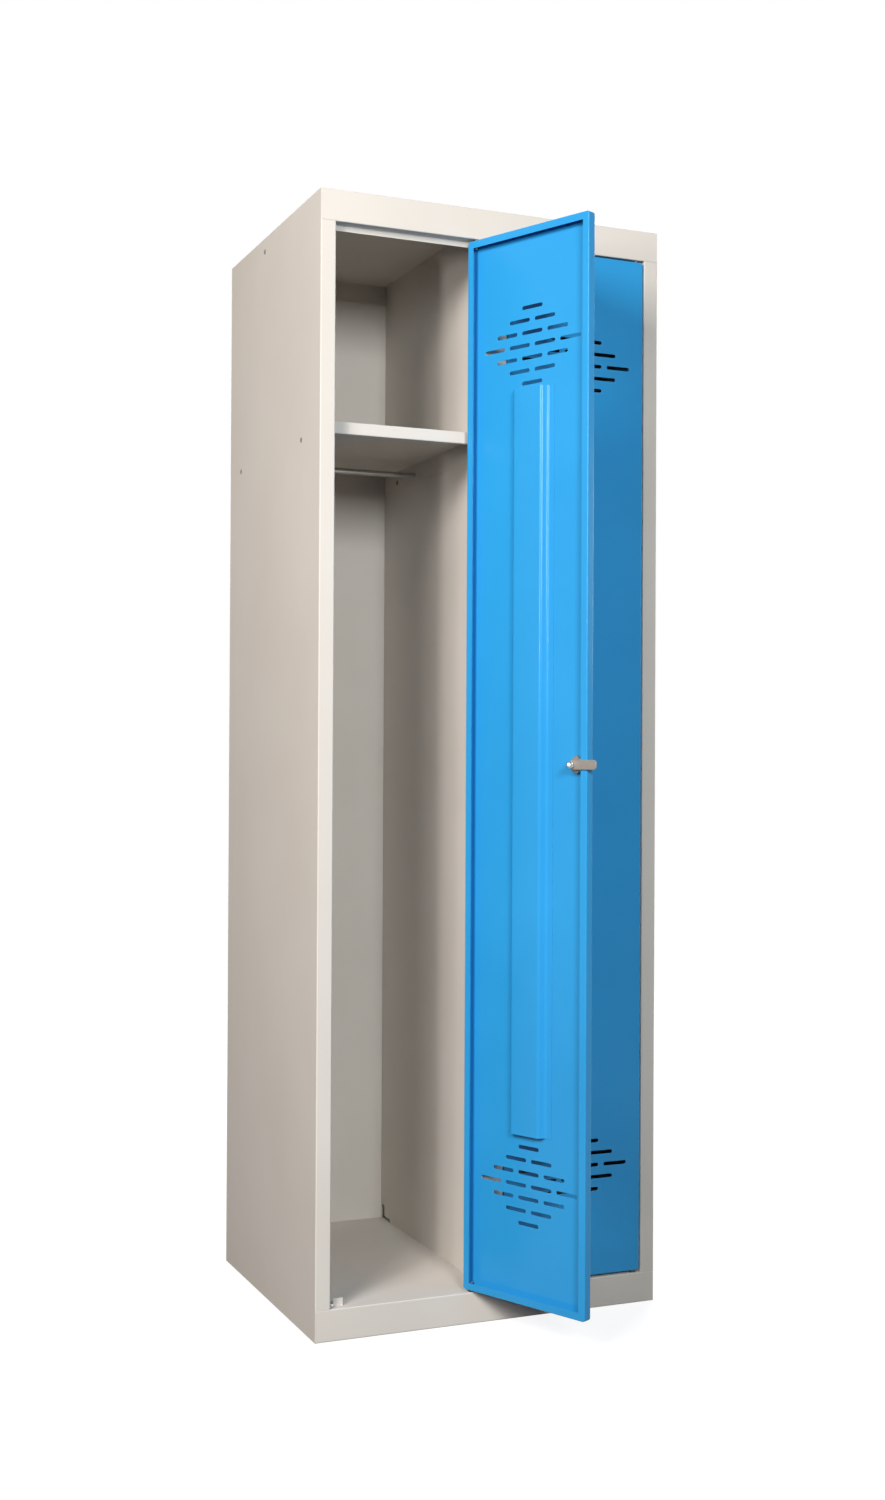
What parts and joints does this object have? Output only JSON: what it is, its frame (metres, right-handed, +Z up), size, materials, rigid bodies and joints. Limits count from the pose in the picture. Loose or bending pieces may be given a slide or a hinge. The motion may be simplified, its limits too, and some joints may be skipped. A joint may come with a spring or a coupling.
{
  "type": "two-door clothes locker",
  "caption": "Tall folded-steel clothes locker with side-by-side compartments, vented lipped doors on pin hinges, hat shelves, coat rails and cam locks.",
  "frame": {"origin": "the middle of the carcass's footprint, on the floor", "axes": "+X to the right of someone who faces the doors, +Y from the doors to the back, +Z up"},
  "size_m": [0.6024, 0.7374, 1.8],
  "materials": {
    "grey_paint": "warm light grey powder coat, low sheen",
    "blue_paint": "sky blue powder coat, low sheen",
    "zinc_plate": "dull zinc plating",
    "lock_metal": "dull nickel plate on die-cast zinc and pressed steel",
    "nylon": "black moulded nylon"
  },
  "bodies": {
    "carcass": {"left_side_panel": "grey_paint", "right_side_panel": "grey_paint", "back_panel": "grey_paint", "roof_panel": "grey_paint", "floor_panel": "grey_paint", "centre_post": "grey_paint", "centre_divider": "grey_paint", "left_hat_shelf": "grey_paint", "right_hat_shelf": "grey_paint", "left_coat_rail": "zinc_plate", "right_coat_rail": "zinc_plate", "shelf_rivets": "zinc_plate", "roof_rivets": "zinc_plate", "divider_rivets": "zinc_plate", "left_hinge_pins": "zinc_plate", "right_hinge_pins": "zinc_plate"},
    "left_leaf": {"left_door": "blue_paint", "left_door_stiffener": "blue_paint", "left_hinge_bushes": "nylon", "left_lock_housing": "lock_metal", "left_lock_nut": "lock_metal"},
    "left_lock": {"left_lock_plug": "lock_metal", "left_lock_cam": "lock_metal", "left_cam_screw": "lock_metal"},
    "right_leaf": {"right_door": "blue_paint", "right_door_stiffener": "blue_paint", "right_hinge_bushes": "nylon", "right_lock_housing": "lock_metal", "right_lock_nut": "lock_metal"},
    "right_lock": {"right_lock_plug": "lock_metal", "right_lock_cam": "lock_metal", "right_cam_screw": "lock_metal"}
  },
  "joints": [
    {"name": "left_door_swing", "type": "hinge", "parent": "carcass", "child": "left_leaf", "pos_m": [-0.0325, -0.244, 0.9], "axis": [0, 0, 1], "range_deg": [-113.8, 4.2]},
    {"name": "left_lock_turn", "type": "hinge", "parent": "left_leaf", "child": "left_lock", "pos_m": [0.05955, -0.43784, 0.9005], "axis": [-0.915, -0.4035, 0], "range_deg": [-90, 0]},
    {"name": "right_door_swing", "type": "hinge", "parent": "carcass", "child": "right_leaf", "pos_m": [0.2625, -0.244, 0.9], "axis": [0, 0, 1], "range_deg": [0, 118]},
    {"name": "right_lock_turn", "type": "hinge", "parent": "right_leaf", "child": "right_lock", "pos_m": [0.048, -0.25, 0.9005], "axis": [0, 1, 0], "range_deg": [0, 90]}
  ]
}
